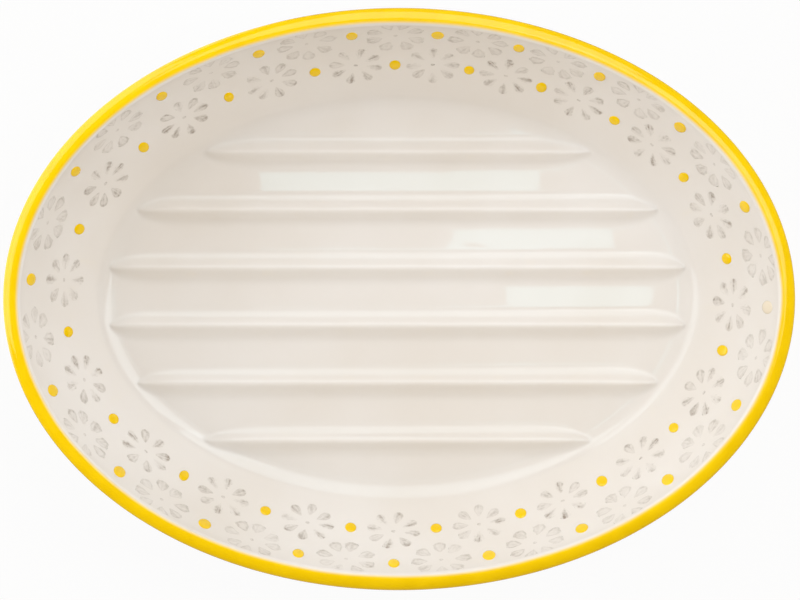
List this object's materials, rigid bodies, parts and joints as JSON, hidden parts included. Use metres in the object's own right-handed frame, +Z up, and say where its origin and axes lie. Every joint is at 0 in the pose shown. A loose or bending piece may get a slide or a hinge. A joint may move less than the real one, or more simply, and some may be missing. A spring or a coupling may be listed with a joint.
{
  "type": "soap dish",
  "caption": "Oval glazed stoneware soap dish with a ribbed floor that drains the soap, a flaring wall with raised dots, a coloured rim and a foot ring.",
  "frame": {"origin": "under the middle of the dish, on the surface that its foot ring stands on", "axes": "+X along the length of the oval, +Y across it towards the far side in the picture, +Z up"},
  "size_m": [0.14, 0.103, 0.025],
  "materials": {
    "cream_glaze": "glossy cream glaze over fired stoneware, bare and matt on the foot ring's sole",
    "yellow_glaze": "glossy warm yellow glaze, laid on by hand",
    "flower_print": "grey-brown stamped petals under a glossy clear glaze"
  },
  "bodies": {
    "root": {"stoneware_body": "cream_glaze", "rim_glaze_band": "yellow_glaze", "upper_row_dots": "yellow_glaze", "lower_row_dots": "yellow_glaze"}
  },
  "joints": []
}
